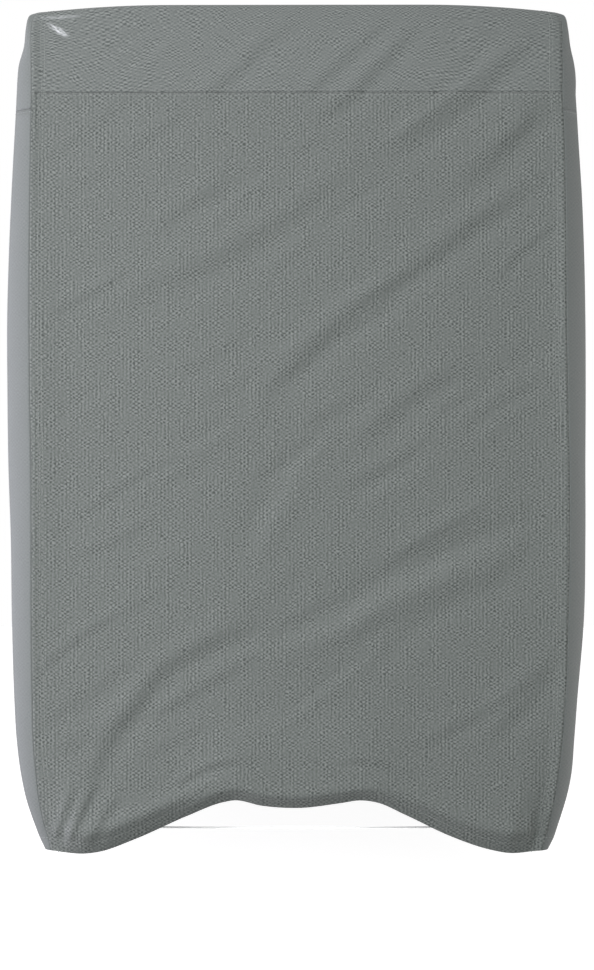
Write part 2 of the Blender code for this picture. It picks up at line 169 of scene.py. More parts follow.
FRONT_HEM = columns(("x", "drop"), [
    (-0.867, 3.002), (-0.747, 3.011), (-0.698, 3.005), (-0.569, 2.960), (-0.387, 2.879),
    (-0.261, 2.830), (-0.222, 2.823), (-0.124, 2.842), (0.009, 2.850), (0.156, 2.833),
    (0.222, 2.824), (0.282, 2.832), (0.383, 2.877), (0.536, 2.950), (0.679, 2.999),
    (0.746, 3.011), (0.867, 3.002),
])

# The roof is flat in the middle and falls towards its long edges and its two ends
CROWN_FLAT = 0.45
CROWN_FALL = 0.026
END_FALL = 0.002
END_REACH = 0.35
CORNER_REACH = 1.30


def crown_drop(x):
    """How far the roof falls below its middle towards its long edges."""
    return CROWN_FALL * (np.clip(np.abs(x) - CROWN_FLAT, 0.0, None) / CROWN_FLAT) ** 2


def end_drop(y):
    """How far the roof falls towards its front and rear edges."""
    edge = HALF_LENGTH - TOP["end_in"][-1]
    return END_FALL * (1.0 - ease((edge - np.abs(y)) / END_REACH))


def wall_rows(drop):
    """What the given levels of the walls measure."""
    rows = {name: soft(drop, LEVEL["drop"], LEVEL[name]) for name in LEVEL_COLUMNS}
    rows.update(end_in=rows["inward"], end_drop=drop, side_drop=drop,
                crown=0.0 * drop, tilt=0.0 * drop)
    return rows


def top_rows(step):
    """What the given steps of the top measure, counted from 0 at the front seam."""
    return {name: soft(step, np.arange(TOP_STEPS + 1), TOP[name]) for name in TOP_COLUMNS}


# %% [markdown]
# ## Folds
# Pulled cloth creases along the line of the pull. Here it pulls from the lower left corner to the
# upper right one, so nearly all the creases rise to the right. Each is placed as a line
# with a width and a height. A "ridge" is an even bump. A "lip" rises slowly on one side and falls
# away on the other, which is how slack cloth leans over its own crease: it shows as a dark line
# with a paler one on both sides.

# %% Fold shapes
PATH_STEPS = 6
TAPER = 0.30


def soft_path(line):
    """Points along a soft curve through the points of a line."""
    line = np.array(line, float)
    at = np.arange(len(line))
    fine = np.linspace(0, len(line) - 1, (len(line) - 1) * PATH_STEPS + 1)
    return np.stack([soft(fine, at, line[:, 0]), soft(fine, at, line[:, 1])], axis=1)


def fold_height(folds, across, drop):
    """How far a table of folds lifts the cloth at the given places."""
    place = np.stack(np.broadcast_arrays(across, drop), axis=-1).astype(float)
    total = np.zeros(place.shape[:-1])
    for _, kind, width, height, line in folds:
        path = soft_path(line)
        reach = 4.0 * width
        near = ((place > path.min(0) - reach) & (place < path.max(0) + reach)).all(-1)
        spot = place[near]
        nearest = np.full(len(spot), np.inf)
        side = np.zeros(len(spot))
        along = np.zeros(len(spot))
        for number, (start, end) in enumerate(zip(path, path[1:])):
            run = end - start
            off = spot - start
            t = np.clip(off @ run / (run @ run), 0.0, 1.0)
            distance = np.linalg.norm(off - t[:, None] * run, axis=-1)
            closer = distance < nearest
            nearest = np.where(closer, distance, nearest)
            side = np.where(closer, np.sign(run[0] * off[:, 1] - run[1] * off[:, 0]), side)
            along = np.where(closer, (number + t) / (len(path) - 1), along)
        taper = ease(along / TAPER) * ease((1.0 - along) / TAPER)
        q = nearest / width
        shape = np.exp(-q ** 2) if kind == "ridge" else -side * q * np.exp(0.5 - 0.5 * q ** 2)
        total[near] += height * taper * shape
    return total


# %% [markdown]
# ## The folds of the front
# x runs from the middle, and the other number is the drop. The points of a line go from its
# lower left end to its upper right one, so that a lip's dark face is on the line itself.

# %% Front folds
FRONT_FOLDS = [
    ("long fold", "lip", 0.036, 0.0066,
     [(-0.18, 1.55), (-0.10, 1.41), (0.03, 1.27), (0.18, 1.13), (0.39, 0.97), (0.60, 0.82),
      (0.78, 0.69), (0.93, 0.57)]),
    ("upper fold", "lip", 0.050, 0.0046,
     [(-0.80, 1.17), (-0.66, 1.11), (-0.52, 1.03), (-0.39, 0.98), (-0.29, 0.93), (-0.17, 0.86),
      (-0.08, 0.80), (0.04, 0.73), (0.17, 0.65), (0.27, 0.57), (0.36, 0.51)]),
    ("right corner fold", "lip", 0.034, 0.0060,
     [(0.25, 0.58), (0.36, 0.53), (0.45, 0.47), (0.55, 0.40), (0.64, 0.33), (0.73, 0.24), (0.81, 0.17),
      (0.89, 0.07)]),
    ("shoulder fold", "lip", 0.050, 0.0048,
     [(0.50, 0.70), (0.59, 0.65), (0.67, 0.59), (0.74, 0.53), (0.80, 0.46), (0.85, 0.42),
      (0.95, 0.33)]),
    ("second band fold", "lip", 0.028, 0.0046,
     [(-0.01, 0.48), (0.10, 0.41), (0.17, 0.37), (0.21, 0.34), (0.27, 0.27), (0.33, 0.21),
      (0.39, 0.14), (0.46, 0.05)]),
    ("first band fold", "lip", 0.027, 0.0034,
     [(-0.01, 0.38), (0.06, 0.33), (0.13, 0.26), (0.20, 0.19), (0.29, 0.11), (0.36, 0.04)]),
    ("left band fold", "lip", 0.030, 0.0040,
     [(-0.39, 0.41), (-0.30, 0.34), (-0.25, 0.30), (-0.18, 0.24), (-0.12, 0.17), (-0.03, 0.11),
      (0.04, 0.04)]),
    ("short fold", "lip", 0.038, 0.0044,
     [(0.17, 1.62), (0.25, 1.54), (0.31, 1.49), (0.39, 1.42), (0.48, 1.36), (0.55, 1.33),
      (0.66, 1.27)]),
    ("middle light", "lip", 0.040, -0.0038,
     [(-0.21, 2.05), (-0.15, 1.93), (-0.11, 1.84), (-0.08, 1.79), (-0.03, 1.70), (0.03, 1.65),
      (0.11, 1.56)]),
    ("low fold, above", "lip", 0.045, 0.0036,
     [(0.27, 2.02), (0.39, 1.96), (0.50, 1.93), (0.60, 1.87), (0.67, 1.84), (0.78, 1.82),
      (0.95, 1.76)]),
    ("low fold", "lip", 0.040, -0.0056,
     [(-0.25, 2.31), (-0.17, 2.29), (-0.03, 2.26), (0.08, 2.22), (0.17, 2.18), (0.25, 2.12),
      (0.36, 2.06), (0.46, 2.02), (0.53, 1.98), (0.64, 1.94), (0.76, 1.89), (0.95, 1.82)]),
    ("low fold, below", "lip", 0.038, 0.0034,
     [(0.01, 2.33), (0.18, 2.25), (0.25, 2.21), (0.34, 2.18), (0.43, 2.13), (0.55, 2.08), (0.67, 2.05),
      (0.78, 2.00), (0.95, 1.93)]),
    ("corner fold", "lip", 0.034, 0.0058,
     [(-0.77, 2.94), (-0.74, 2.82), (-0.71, 2.73), (-0.67, 2.65), (-0.62, 2.57), (-0.57, 2.50),
      (-0.52, 2.43), (-0.46, 2.36), (-0.39, 2.32), (-0.29, 2.27), (-0.18, 2.23), (-0.10, 2.21),
      (0.06, 2.14)]),
    ("right edge fold", "lip", 0.038, 0.0040,
     [(0.69, 2.56), (0.76, 2.49), (0.80, 2.45), (0.87, 2.38), (0.95, 2.24)]),
    ("hem roll", "ridge", 0.110, 0.0100,
     [(-0.42, 2.70), (-0.20, 2.64), (0.00, 2.64), (0.20, 2.64), (0.42, 2.72)]),
]
GATHERS = [
    ("left gather, outer", "lip", 0.013, 0.0050,
     [(-0.85, 3.00), (-0.83, 2.92), (-0.80, 2.84), (-0.78, 2.75)]),
    ("left gather, inner", "lip", 0.014, 0.0050,
     [(-0.80, 3.00), (-0.77, 2.91), (-0.73, 2.82), (-0.69, 2.74)]),
    ("left gather, last", "lip", 0.016, 0.0035,
     [(-0.74, 3.01), (-0.70, 2.93), (-0.66, 2.86), (-0.60, 2.79)]),
    ("right gather, inner", "lip", 0.016, -0.0030, [(0.78, 3.00), (0.80, 2.92), (0.81, 2.83)]),
    ("right gather, outer", "lip", 0.014, -0.0030, [(0.83, 3.00), (0.85, 2.92), (0.85, 2.83)]),
    ("hem dart, left", "lip", 0.014, 0.0040,
     [(-0.44, 2.78), (-0.36, 2.73), (-0.27, 2.69), (-0.14, 2.68)]),
    ("hem dart, right", "lip", 0.014, 0.0030,
     [(0.10, 2.69), (0.24, 2.68), (0.34, 2.71), (0.42, 2.77)]),
    ("corner pinch, upper", "lip", 0.010, -0.0030, [(-0.87, 0.10), (-0.84, 0.12), (-0.81, 0.15)]),
    ("corner pinch, lower", "lip", 0.010, 0.0025, [(-0.88, 0.14), (-0.86, 0.17), (-0.82, 0.19)]),
]

# Small slack creases lie between the main folds, along the same pull. They are scattered by chance
CREASE_COUNT = 70
CREASE_SEED = 12


def small_creases():
    """A table of short shallow folds, steeper near the upper right corner."""
    chance = np.random.default_rng(CREASE_SEED)
    rows = []
    for number in range(CREASE_COUNT):
        x, drop = chance.uniform(-0.85, 0.85), chance.uniform(0.10, 2.75)
        steep = math.radians(30 + 22 * max(0.0, x) * max(0.0, 1.2 - drop) + chance.uniform(-6, 8))
        reach = chance.uniform(0.12, 0.34)
        run = np.array([math.cos(steep), -math.sin(steep)]) * reach
        bow = np.array([run[1], -run[0]]) * chance.uniform(-0.12, 0.12)
        middle = np.array([x, drop])
        line = [tuple(middle - run), tuple(middle + bow), tuple(middle + run)]
        width, height = chance.uniform(0.014, 0.034), chance.uniform(-0.0022, 0.0032)
        rows.append(("crease %d" % number, "lip", width, height, line))
    return rows


SMALL_CREASES = small_creases()
FRONT_WAVE = 0.004
FOLD_FADE = 0.035         # folds end this far from a corner seam
GATHER_FADE = 0.012       # gathers run closer to it


def front_relief(x, drop):
    """How far the front cloth stands out or in at the given places."""
    waves = np.sin(2.6 * x + 0.9 * drop + 0.4) + np.sin(1.3 * x - 2.9 * drop)
    return fold_height(FRONT_FOLDS + SMALL_CREASES, x, drop) + FRONT_WAVE * waves


# %% [markdown]
# ## The front panel
# A grid of points, finer than the plain sheet's. Its rows bend from the straight seam at the top
# to the arched hem, where the cloth bulges, dips at the row of stitches, and curls under.

# %% Front panel's points
FRONT_ACROSS = 190
FRONT_DOWN = 240
EDGE_BLEND = 0.14
HEM_COLUMNS = ("height", "arch", "slope")
HEM = columns(HEM_COLUMNS, [
    (0.000, 0.0240, 0.0340),
    (0.006, 0.0160, 0.0290),
    (0.014, 0.0085, 0.0235),
    (0.022, 0.0010, 0.0185),
    (0.030, -0.0080, 0.0135),
    (0.037, -0.0150, 0.0093),
    (0.044, -0.0190, 0.0050),
    (0.052, -0.0205, -0.0002),
    (0.064, -0.0200, -0.0070),
    (0.078, -0.0180, -0.0120),
    (0.090, -0.0165, -0.0125),
    (0.110, -0.0145, -0.0090),
    (0.130, -0.0125, -0.0065),
    (0.190, -0.0080, -0.0040),
    (0.260, -0.0040, -0.0020),
    (0.450, 0.0000, 0.0000),
])
ARCH_REACH = 0.38
HEM_FINE = 0.12          # the rows are close together in this lowest stretch
HEM_FINE_ROWS = 40
PUCKER = 0.0009
PUCKER_LENGTH = 0.043
PUCKER_REACH = 0.022


def levels(top, bottom, rows, fine_rows):
    """Drops from the top to the bottom, close together near the hem."""
    coarse = np.linspace(top, bottom - HEM_FINE, rows - fine_rows + 1)
    return np.concatenate([coarse[:-1], np.linspace(bottom - HEM_FINE, bottom, fine_rows + 1)])


def pucker(along, away):
    """How thread pulls the cloth into small waves beside a seam."""
    wave = np.sin(2 * math.pi * along / PUCKER_LENGTH + 2.5 * np.sin(3.1 * along))
    return PUCKER * wave * (0.7 + 0.3 * np.sin(7.3 * along)) * np.exp(-away / PUCKER_REACH)


def seam_to_seam(rows, share, end):
    """Points across one end of the cover, from the left corner seam to the right one."""
    left, right = -rows["left_seam"][:, None], rows["right_seam"][:, None]
    x = left + (right - left) * share[None, :]
    inward = rows["end_in"][:, None] + 0.0 * x
    y = FRONT_Y + inward if end == "front" else REAR_Y - inward
    z = CLOTH - rows["end_drop"][:, None] - rows["crown"][:, None] * crown_drop(x)
    return np.stack([x, y, z], axis=-1)


def seam_distance(x, rows):
    """How far places across an end are from the nearer corner seam."""
    return np.minimum(x + rows["left_seam"][:, None], rows["right_seam"][:, None] - x)


def front_points():
    share = np.linspace(0.0, 1.0, FRONT_ACROSS + 1)
    level = levels(FRONT_SEAM_DROP, HEM_DROP, FRONT_DOWN, HEM_FINE_ROWS)
    rows = wall_rows(level)
    grid = seam_to_seam(rows, share, "front")
    x = grid[..., 0]
    hem = soft(x, FRONT_HEM["x"], FRONT_HEM["drop"])
    hem[:, [0, -1]] = HEM_DROP
    stretch = (level[:, None] - FRONT_SEAM_DROP) / (HEM_DROP - FRONT_SEAM_DROP)
    drop = FRONT_SEAM_DROP + stretch * (hem - FRONT_SEAM_DROP)
    height = np.clip(hem - drop, 0.0, HEM["height"][-1])
    arch = np.exp(-(x / ARCH_REACH) ** 6)
    curl = arch * soft(height, HEM["height"], HEM["arch"])
    curl = curl + (1.0 - arch) * soft(height, HEM["height"], HEM["slope"])
    near = seam_distance(x, rows)
    edge = 1.0 - ease(near / EDGE_BLEND)
    relief = front_relief(x, drop) * ease(near / FOLD_FADE)
    relief = relief + fold_height(GATHERS, x, drop) * ease(near / GATHER_FADE)
    relief = relief + pucker(drop, near) + pucker(x, drop - FRONT_SEAM_DROP)
    inward = rows["inward"][:, None] * edge + curl * (1.0 - edge)
    grid[..., 1] = FRONT_Y + inward - relief
    grid[..., 2] = CLOTH - drop
    return grid


# %% [markdown]
# ## The roof piece
# It starts at the front seam, leans back, turns over the edge, runs the length of the roof and
# comes down again at the rear.

# %% Roof piece's points
ROOF_ACROSS = 150
BAND_ROWS = 48
ROOF_WAVE = 0.004
ROOF_CALM = 0.30          # how far from its edges the roof's waves reach their full height


def end_band(end):
    """The rows that hang down at one end, from its seam up to the roof."""
    step = np.linspace(0.0, TOP_STEPS, BAND_ROWS + 1)
    rows = top_rows(step)
    grid = seam_to_seam(rows, np.linspace(0.0, 1.0, ROOF_ACROSS + 1), end)
    if end == "front":
        x = grid[..., 0]
        calm = ease(2.0 * (1.0 - step / TOP_STEPS))[:, None]
        near = seam_distance(x, rows)
        drop = rows["end_drop"][:, None]
        relief = front_relief(x, drop) * ease(near / FOLD_FADE) + fold_height(GATHERS, x, drop)
        relief = relief + pucker(drop, near) + pucker(x, FRONT_SEAM_DROP - drop)
        tilt = np.radians(rows["tilt"])[:, None]
        grid[..., 1] -= relief * calm * np.cos(tilt)
        grid[..., 2] += relief * calm * np.sin(tilt)
    return grid


CORNER_STEPS = 14
SIDE_ALONG = 170
STRAIGHT_SHARE = 0.6
FLAT_CORNER = 0.6        # how far a corner is a flat slant, and not a quarter circle


def side_steps():
    """For each step round a side: how far round its corner, which end, and how far along."""
    turn = np.linspace(0.0, 1.0, CORNER_STEPS + 1)[:-1]
    even = np.linspace(0.0, 1.0, SIDE_ALONG + 1)
    along = STRAIGHT_SHARE * even + (1.0 - STRAIGHT_SHARE) * (0.5 - 0.5 * np.cos(np.pi * even))
    corner = np.concatenate([turn, np.ones(SIDE_ALONG + 1), turn[::-1]])
    end = np.concatenate([-np.ones(CORNER_STEPS), np.zeros(SIDE_ALONG + 1), np.ones(CORNER_STEPS)])
    along = np.concatenate([np.zeros(CORNER_STEPS), along, np.ones(CORNER_STEPS)])
    return corner, end, along


def side_points(side, rows):
    """The outer face of the cloth round the left or the right side."""
    corner, end, along = (values[None, :] for values in side_steps())
    half, seam = rows[side][:, None], rows[side + "_seam"][:, None]
    inward = rows["end_in"][:, None]
    radius = half - seam
    angle = corner * np.pi / 2
    back = radius * (FLAT_CORNER * corner + (1.0 - FLAT_CORNER) * (1.0 - np.cos(angle)))
    straight = 2 * (HALF_LENGTH - inward - radius)
    y = FRONT_Y + inward + radius + straight * along
    y = np.where(end < 0, FRONT_Y + inward + back, np.where(end > 0, REAR_Y - inward - back, y))
    from_end = np.minimum(along, 1.0 - along) * straight
    x = seam + radius * (FLAT_CORNER * corner + (1.0 - FLAT_CORNER) * np.sin(angle))
    x = x + (rows["middle"][:, None] - half) * ease(from_end / CORNER_REACH)
    share = np.sin(angle) ** 2
    drop = rows["end_drop"][:, None] * (1.0 - share) + rows["side_drop"][:, None] * share
    drop = drop + rows["crown"][:, None] * (crown_drop(x) + share * end_drop(y))
    return np.stack([-x if side == "left" else x, y, CLOTH - drop], axis=-1)


def roof_points():
    edge = top_rows(np.array([float(TOP_STEPS)]))
    left = side_points("left", edge)[0, 1:-1]
    right = side_points("right", edge)[0, 1:-1]
    share = np.linspace(0.0, 1.0, ROOF_ACROSS + 1)[None, :, None]
    middle = left[:, None] + (right - left)[:, None] * share
    x, y = middle[..., 0], middle[..., 1]
    inside = np.minimum(x - left[:, 0][:, None], right[:, 0][:, None] - x)
    from_ends = HALF_LENGTH - TOP["end_in"][-1] - np.abs(y)
    calm = ease(inside / ROOF_CALM) * ease(from_ends / ROOF_CALM)
    waves = np.sin(2.2 * y + 1.1 * x) * np.cos(1.3 * y - 2.0 * x)
    middle[..., 2] = CLOTH - crown_drop(x) - end_drop(y) + ROOF_WAVE * calm * waves
    return np.concatenate([end_band("front"), middle, end_band("rear")[::-1]])


# %% [markdown]
# ## The sides, the top bands and the rear
# The long sides show only at their corners in the front view. From there on they are finished
# as such a cover hangs: shallow slanting folds that run down and inwards from the roof corners.

# %% Side and rear points
SIDE_FOLDS = [
    ("first", "ridge", 0.16, 0.014, [(-2.20, 0.62), (-1.70, 1.15), (-1.35, 1.80), (-1.20, 2.40)]),
    ("second", "ridge", 0.15, -0.012, [(-1.95, 0.55), (-1.35, 1.05), (-0.85, 1.75)]),
    ("third", "ridge", 0.18, 0.012, [(-0.60, 0.60), (-0.20, 1.30), (0.00, 2.10)]),
    ("fourth", "ridge", 0.18, -0.010, [(0.75, 0.65), (0.55, 1.45), (0.60, 2.30)]),
    ("fifth", "ridge", 0.16, 0.013, [(2.25, 0.60), (1.75, 1.10), (1.30, 1.70), (1.05, 2.35)]),
    ("sixth", "ridge", 0.14, -0.011, [(2.40, 1.30), (2.00, 1.90), (1.75, 2.55)]),
]
REAR_FOLDS = [
    ("first", "ridge", 0.11, 0.013, [(-0.72, 0.62), (-0.30, 1.05), (0.00, 1.70)]),
    ("second", "ridge", 0.10, -0.011, [(0.78, 0.66), (0.38, 1.15), (0.15, 1.75)]),
    ("third", "ridge", 0.11, 0.012, [(-0.76, 2.62), (-0.40, 2.20), (-0.02, 2.05)]),
]
QUIET_CORNER = 0.25
SOFT_START = 0.30
HEM_QUIET = 0.10          # the sides' hem is plain this close to a corner
HEM_START = 0.20          # and has its full form this much farther on
SIDE_WAVE = 0.006
SIDE_DOWN = 112
SIDE_FINE_ROWS = 30
SIDE_BAND_ROWS = 34
REAR_ACROSS = 110
REAR_DOWN = 120
CASING = columns(("height", "inward"), [
    (0.000, 0.006), (0.006, 0.001), (0.020, -0.001), (0.034, 0.001), (0.041, 0.004),
    (0.048, 0.001), (0.058, -0.003), (0.080, -0.003), (0.120, 0.000),
])


def side_panel_points(side):
    level = levels(SIDE_SEAM_DROP, HEM_DROP, SIDE_DOWN, SIDE_FINE_ROWS)
    rows = wall_rows(level)
    grid = side_points(side, rows)
    y, drop = grid[..., 1], CLOTH - grid[..., 2]
    out, across = (-1.0, y) if side == "left" else (1.0, -y)
    fade = ease((HALF_LENGTH - QUIET_CORNER - np.abs(y)) / SOFT_START)
    fade = fade * ease((drop - SIDE_SEAM_DROP) / SOFT_START) * ease((HEM_DROP - drop) / SOFT_START)
    waves = SIDE_WAVE * np.sin(2.3 * y + 1.7 * drop)
    lift = fade * (fold_height(SIDE_FOLDS, across, drop) + waves)
    casing = soft(HEM_DROP - level, CASING["height"], CASING["inward"])[:, None]
    lift = lift - casing + pucker(y, drop - SIDE_SEAM_DROP)
    grid[..., 0] += out * lift * ease((HALF_LENGTH - HEM_QUIET - np.abs(y)) / HEM_START)
    return grid


def side_band_points(side):
    below = wall_rows(np.linspace(SIDE_SEAM_DROP, FRONT_SEAM_DROP, 7)[:-1])
    above = top_rows(np.linspace(0.0, TOP_STEPS, SIDE_BAND_ROWS + 1))
    return np.concatenate([side_points(side, below), side_points(side, above)])[::-1]


def rear_points():
    level = levels(FRONT_SEAM_DROP, HEM_DROP, REAR_DOWN, SIDE_FINE_ROWS)
    rows = wall_rows(level)
    grid = seam_to_seam(rows, np.linspace(1.0, 0.0, REAR_ACROSS + 1), "rear")
    x, drop = grid[..., 0], level[:, None]
    fade = ease((drop - FRONT_SEAM_DROP) / SOFT_START) * ease((HEM_DROP - drop) / SOFT_START)
    fade = fade * ease(seam_distance(x, rows) / FOLD_FADE)
    near = seam_distance(x, rows)
    casing = soft(HEM_DROP - level, CASING["height"], CASING["inward"])[:, None]
    lift = fold_height(REAR_FOLDS, x, drop) * fade - casing * ease(near / FOLD_FADE)
    grid[..., 1] += lift + pucker(drop, near) + pucker(x, drop - FRONT_SEAM_DROP)
    return grid


# %% [markdown]
# ## Making a sheet from its points
# The grid becomes a mesh of four-sided faces, with the cloth's own measure as its UV map, in
# metres, so that the embossing follows the cloth round every corner. Solidify then gives the
# sheet its thickness on the inner side.

# %% Sheets
def run_lengths(grid, axis):
    """Distance from the first row (axis 0) or the first column (axis 1) of a grid."""
    step = np.linalg.norm(np.diff(grid, axis=axis), axis=-1)
    start = np.zeros_like(np.take(step, [0], axis=axis))
    return np.concatenate([start, np.cumsum(step, axis=axis)], axis=axis)


def trimmed(grid):
    """The grid with half a seam's gap cut off all round."""
    grid = grid.copy()
    for edge, inner in ((0, 1), (-1, -2)):
        for lines in (grid, grid.transpose(1, 0, 2)):
            run = lines[inner] - lines[edge]
            lines[edge] += run / np.linalg.norm(run, axis=-1, keepdims=True) * HALF_SEAM_GAP
    return grid


TURN = columns(("back", "up"), [
    (0.0015, -0.0015), (0.0040, -0.0025), (0.0065, -0.0010), (0.0075, 0.0030), (0.0075, 0.0150),
    (0.0075, 0.0360),
])


def turned_under(grid, outward):
    """The grid with its last row turned up behind, as a hem is."""
    up = grid[-2] - grid[-1]
    up /= np.linalg.norm(up, axis=-1, keepdims=True)
    along = np.gradient(grid[-1], axis=0)
    back = np.cross(up, along)
    back /= np.linalg.norm(back, axis=-1, keepdims=True)
    if (back[len(back) // 2] @ np.array(outward, float)) > 0:
        back = -back
    rows = [grid[-1] + back * a + up * b for a, b in zip(TURN["back"], TURN["up"])]
    return np.concatenate([grid, np.array(rows)])


def uv_map(mesh, name, faces, u, v):
    """Give every corner of every face its place on the flat cloth."""
    measure = np.stack(np.broadcast_arrays(u, v), axis=-1).reshape(-1, 2)
    layer = mesh.uv_layers.new(name=name)
    layer.data.foreach_set("uv", measure[faces.ravel()].astype(np.float32).ravel())


def cloth_sheet(name, grid, outward, u, v, lattice_u=None):
    """A sheet laid on a grid of points, with u and v as its own measure in metres."""
    rows, across = grid.shape[:2]
    corner = (np.arange(rows - 1)[:, None] * across + np.arange(across - 1)[None, :]).ravel()
    faces = np.stack([corner, corner + 1, corner + across + 1, corner + across], axis=1)
    mesh = bpy.data.meshes.new(name)
    mesh.from_pydata(grid.reshape(-1, 3).tolist(), [], faces.tolist())
    uv_map(mesh, "cloth", faces, u, v)
    uv_map(mesh, "lattice", faces, u if lattice_u is None else lattice_u, v)
    mesh.update()
    if mesh.polygons[len(mesh.polygons) // 2].normal.dot(outward) < 0:
        mesh.flip_normals()
    mesh.shade_smooth()
    piece = bpy.data.objects.new(name, mesh)
    bpy.context.scene.collection.objects.link(piece)
    thickness = piece.modifiers.new("thickness", "SOLIDIFY")
    thickness.thickness = CLOTH
    thickness.offset = -1.0
    print(name, len(faces), "faces")
    return piece


# %% The cloth pieces
# Towards its corners the roof piece is drawn out sideways, so its lattice is wider there
DRAWN_FROM = 0.45
DRAWN_SHARE = 0.3

front_grid = turned_under(trimmed(front_points()), (0, -1, 0))
roof_grid = trimmed(roof_points())
rear_grid = turned_under(trimmed(rear_points()), (0, 1, 0))
front_cloth = cloth_sheet("front_cloth", front_grid, (0, -1, 0), front_grid[..., 0], front_grid[..., 2])
roof_x = roof_grid[..., 0]
roof_lattice = roof_x - DRAWN_SHARE * np.sign(roof_x) * np.clip(np.abs(roof_x) - DRAWN_FROM, 0.0, None)
roof_cloth = cloth_sheet("roof_cloth", roof_grid, (0, 0, 1), roof_x, run_lengths(roof_grid, 0), roof_lattice)
rear_cloth = cloth_sheet("rear_cloth", rear_grid, (0, 1, 0), rear_grid[..., 0], rear_grid[..., 2])
side_cloths, side_grids = {}, {}
band_cloths, band_grids = {}, {}
for side, out in (("left", -1), ("right", 1)):
    grid = turned_under(trimmed(side_panel_points(side)), (out, 0, 0))
    side_grids[side] = grid
    round_it = run_lengths(grid, 1)
    side_cloths[side] = cloth_sheet(side + "_side_cloth", grid, (out, 0, 0), round_it, grid[..., 2])
    grid = trimmed(side_band_points(side))
    band_grids[side] = grid
    round_it = run_lengths(grid, 1)
    band_cloths[side] = cloth_sheet(side + "_band_cloth", grid, (out, 0, 0), round_it, run_lengths(grid, 0))

# %% [markdown]
# ## The belly strap
# One length of webbing crosses under the belly from hem to hem, about half a metre behind the
# front, and keeps the sides from blowing out. It hangs in a shallow curve.

# %% Strap
STRAP_BEHIND_FRONT = 0.48
STRAP_WIDTH = 0.025
STRAP_DROP = 2.988
STRAP_SAG = 0.008
STRAP_STEPS = 60

strap_low, strap_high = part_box("belly_strap")
share = np.linspace(0.0, 1.0, STRAP_STEPS + 1)
strap_x = strap_low.x + (strap_high.x - strap_low.x) * share
strap_drop = STRAP_DROP + STRAP_SAG * (1.0 - (2.0 * share - 1.0) ** 2)
strap_y = FRONT_Y + STRAP_BEHIND_FRONT + np.array([-0.5, 0.0, 0.5])[:, None] * STRAP_WIDTH
strap_grid = np.stack(np.broadcast_arrays(strap_x, strap_y, CLOTH - strap_drop), axis=-1)
strap = cloth_sheet("belly_webbing", strap_grid, (0, 0, 1), strap_grid[..., 0], strap_grid[..., 1])
strap.data.shade_flat()      # so thin a piece would look round if it were shaded smooth

# %% [markdown]
# ## A helper for node trees
# One small function adds a node with its settings and links.

# %% Node helper
def add(tree, kind, inputs=None, **settings):
    """Add a node. Each input is a plain value, or an output of another node to link from."""
    made = tree.nodes.new(kind)
    for name, value in settings.items():
        setattr(made, name, value)
    for key, value in (inputs or {}).items():
        if isinstance(value, bpy.types.NodeSocket):
            tree.links.new(value, made.inputs[key])
        else:
            made.inputs[key].default_value = value
    return made


# %% [markdown]
# ## Stitching
# Two rows of thread run beside the corner seams and one beside the others and above the hem.
# Each row is a line of points on the cloth. Geometry Nodes walks along it and sets a small
# five-sided stitch every 14 mm. A real stitch is 4 mm long. It is drawn longer and thicker here,
# so that a row still reads as stitching from across a yard.

# %% Rows of stitches
STITCH_PITCH = 0.014
STITCH_LENGTH = 0.009
STITCH_RADIUS = 0.0009
STITCH_SIDES = 5
BESIDE_SEAM = (0.009, 0.021)
ABOVE_HEM = 0.046


def beside_edge(lines, away):
    """Points at a distance from the first point of each line, along that line."""
    points = []
    for line in lines:
        step = np.linalg.norm(np.diff(line, axis=0), axis=1)
        run = np.concatenate([[0.0], np.cumsum(step)])
        points.append([np.interp(away, run, line[:, k]) for k in range(3)])
    return np.array(points)


def stitch_rows(name, rows):
    """Stitches along lines of points, as one mesh."""
    points = np.concatenate(rows)
    ends = np.cumsum([len(row) for row in rows])
    pairs = [(k, k + 1) for k in range(len(points) - 1) if k + 1 not in ends]
    mesh = bpy.data.meshes.new(name + "_lines")
    mesh.from_pydata(points.tolist(), pairs, [])
    lines = bpy.data.objects.new(name + "_lines", mesh)
    bpy.context.scene.collection.objects.link(lines)
    tree = bpy.data.node_groups.new(name + "_nodes", "GeometryNodeTree")
    tree.interface.new_socket("Geometry", in_out="INPUT", socket_type="NodeSocketGeometry")
    tree.interface.new_socket("Geometry", in_out="OUTPUT", socket_type="NodeSocketGeometry")
    start = tree.nodes.new("NodeGroupInput")
    curve = add(tree, "GeometryNodeMeshToCurve", {"Mesh": start.outputs[0]})
    spots = add(tree, "GeometryNodeCurveToPoints", {"Curve": curve.outputs[0]}, mode="LENGTH")
    spots.inputs["Length"].default_value = STITCH_PITCH
    thread = add(tree, "GeometryNodeMeshCylinder", {"Vertices": STITCH_SIDES, "Side Segments": 1,
                                                    "Radius": STITCH_RADIUS, "Depth": STITCH_LENGTH})
    stitches = add(tree, "GeometryNodeInstanceOnPoints",
                   {"Points": spots.outputs["Points"], "Instance": thread.outputs["Mesh"],
                    "Rotation": spots.outputs["Rotation"]})
    solid = add(tree, "GeometryNodeRealizeInstances", {"Geometry": stitches.outputs[0]})
    end = tree.nodes.new("NodeGroupOutput")
    tree.links.new(solid.outputs[0], end.inputs[0])
    lines.modifiers.new("stitches", "NODES").node_group = tree
    ready = lines.evaluated_get(bpy.context.evaluated_depsgraph_get())
    sewn = bpy.data.meshes.new_from_object(ready)
    sewn.name = name
    bpy.data.objects.remove(lines)
    sewn.materials.clear()
    row = bpy.data.objects.new(name, sewn)
    bpy.context.scene.collection.objects.link(row)
    print(name, len(sewn.polygons), "faces")
    return row


def corner_rows(grid):
    """Double rows beside the left and the right edge of a piece."""
    columns_in = [grid[:, 2:], grid[:, ::-1][:, 2:]]
    return [beside_edge(lines, away) for lines in columns_in for away in BESIDE_SEAM]


